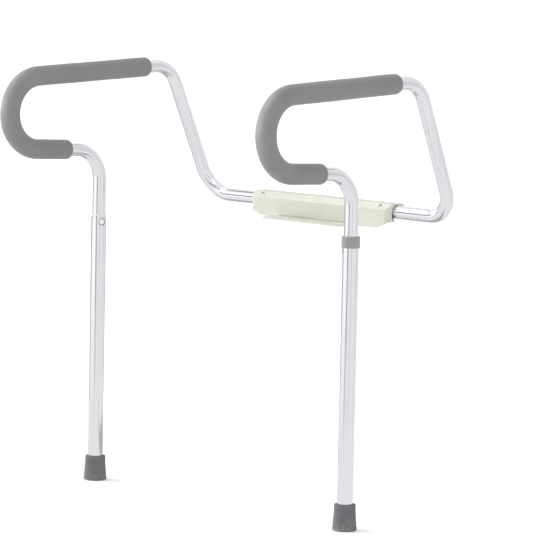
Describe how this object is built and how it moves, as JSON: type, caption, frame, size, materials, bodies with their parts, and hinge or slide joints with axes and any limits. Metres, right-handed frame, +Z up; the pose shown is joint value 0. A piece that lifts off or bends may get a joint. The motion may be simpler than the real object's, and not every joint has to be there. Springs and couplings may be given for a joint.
{
  "type": "toilet safety frame",
  "caption": "Toilet safety frame: seat-bolt bracket with two width-adjustable bent-tube arms, soft sleeves, telescoping legs and rubber feet.",
  "frame": {"origin": "on the floor under the middle of the frame", "axes": "+Z up; +Y from the seated user towards the cistern; +X towards the right leg of the frame as seen from the front-facing camera side (the seated user faces -Y)"},
  "size_m": [0.6492, 0.4792, 0.7267],
  "materials": {
    "tube": "bright polished anodised tube",
    "sleeve": "soft satin grey vinyl sleeve with a fine matte skin",
    "rubber_tip": "matte moulded grey rubber",
    "bracket": "satin moulded off-white plastic",
    "collar": "satin moulded grey plastic",
    "nylon": "natural nylon",
    "steel": "zinc-plated steel"
  },
  "bodies": {
    "bracket": {"bracket_housing": "bracket", "bracket_base": "bracket", "base_screw_1": "steel", "base_screw_2": "steel", "base_screw_3": "steel", "base_screw_4": "steel", "end_bush_left": "bracket", "rocker_pivot_left": "steel", "lock_spring_left": "steel", "end_bush_right": "bracket", "rocker_pivot_right": "steel", "lock_spring_right": "steel"},
    "arm_left": {"arm_tube_left": "tube", "grip_left": "sleeve", "tube_plug_left": "nylon", "leg_glide_left": "nylon", "height_spring_left": "steel"},
    "leg_left": {"leg_tube_left": "tube", "leg_bush_left": "nylon", "rubber_tip_left": "rubber_tip", "tip_washer_left": "steel"},
    "height_button_left": {"height_button_left": "steel"},
    "width_lock_left": {"lock_rocker_left": "steel", "lock_button_left": "collar"},
    "arm_right": {"arm_tube_right": "tube", "grip_right": "sleeve", "tube_plug_right": "nylon", "leg_glide_right": "nylon", "height_spring_right": "steel"},
    "leg_right": {"leg_tube_right": "tube", "leg_bush_right": "nylon", "rubber_tip_right": "rubber_tip", "tip_washer_right": "steel", "leg_collar_right": "collar"},
    "height_button_right": {"height_button_right": "steel"},
    "width_lock_right": {"lock_rocker_right": "steel", "lock_button_right": "collar"}
  },
  "joints": [
    {"name": "width_slide_left", "type": "slide", "parent": "bracket", "child": "arm_left", "axis": [-1, 0, 0], "range_m": [-0.0508, 0.0254]},
    {"name": "width_slide_right", "type": "slide", "parent": "bracket", "child": "arm_right", "axis": [1, 0, 0], "range_m": [-0.0508, 0.0254]},
    {"name": "height_slide_left", "type": "slide", "parent": "arm_left", "child": "leg_left", "axis": [0, 0, -1], "range_m": [-0.0254, 0.127]},
    {"name": "height_slide_right", "type": "slide", "parent": "arm_right", "child": "leg_right", "axis": [0, 0, -1], "range_m": [-0.0254, 0.127]},
    {"name": "height_button_press_left", "type": "slide", "parent": "arm_left", "child": "height_button_left", "axis": [0, -1, 0], "range_m": [0, 0.0052], "stiffness_N_per_m": 900, "springref_m": -0.004, "deforming": ["height_spring_left"]},
    {"name": "height_button_press_right", "type": "slide", "parent": "arm_right", "child": "height_button_right", "axis": [0, -1, 0], "range_m": [0, 0.0052], "stiffness_N_per_m": 900, "springref_m": -0.004, "deforming": ["height_spring_right"]},
    {"name": "width_lock_press_left", "type": "hinge", "parent": "bracket", "child": "width_lock_left", "pos_m": [-0.141, 0.2065, 0.4769], "axis": [1, 0, 0], "range_deg": [-8, 0], "stiffness_Nm_per_rad": 0.4, "springref_deg": 6.88, "deforming": ["lock_spring_left"]},
    {"name": "width_lock_press_right", "type": "hinge", "parent": "bracket", "child": "width_lock_right", "pos_m": [0.141, 0.2065, 0.4769], "axis": [1, 0, 0], "range_deg": [-8, 0], "stiffness_Nm_per_rad": 0.4, "springref_deg": 6.88, "deforming": ["lock_spring_right"]}
  ]
}
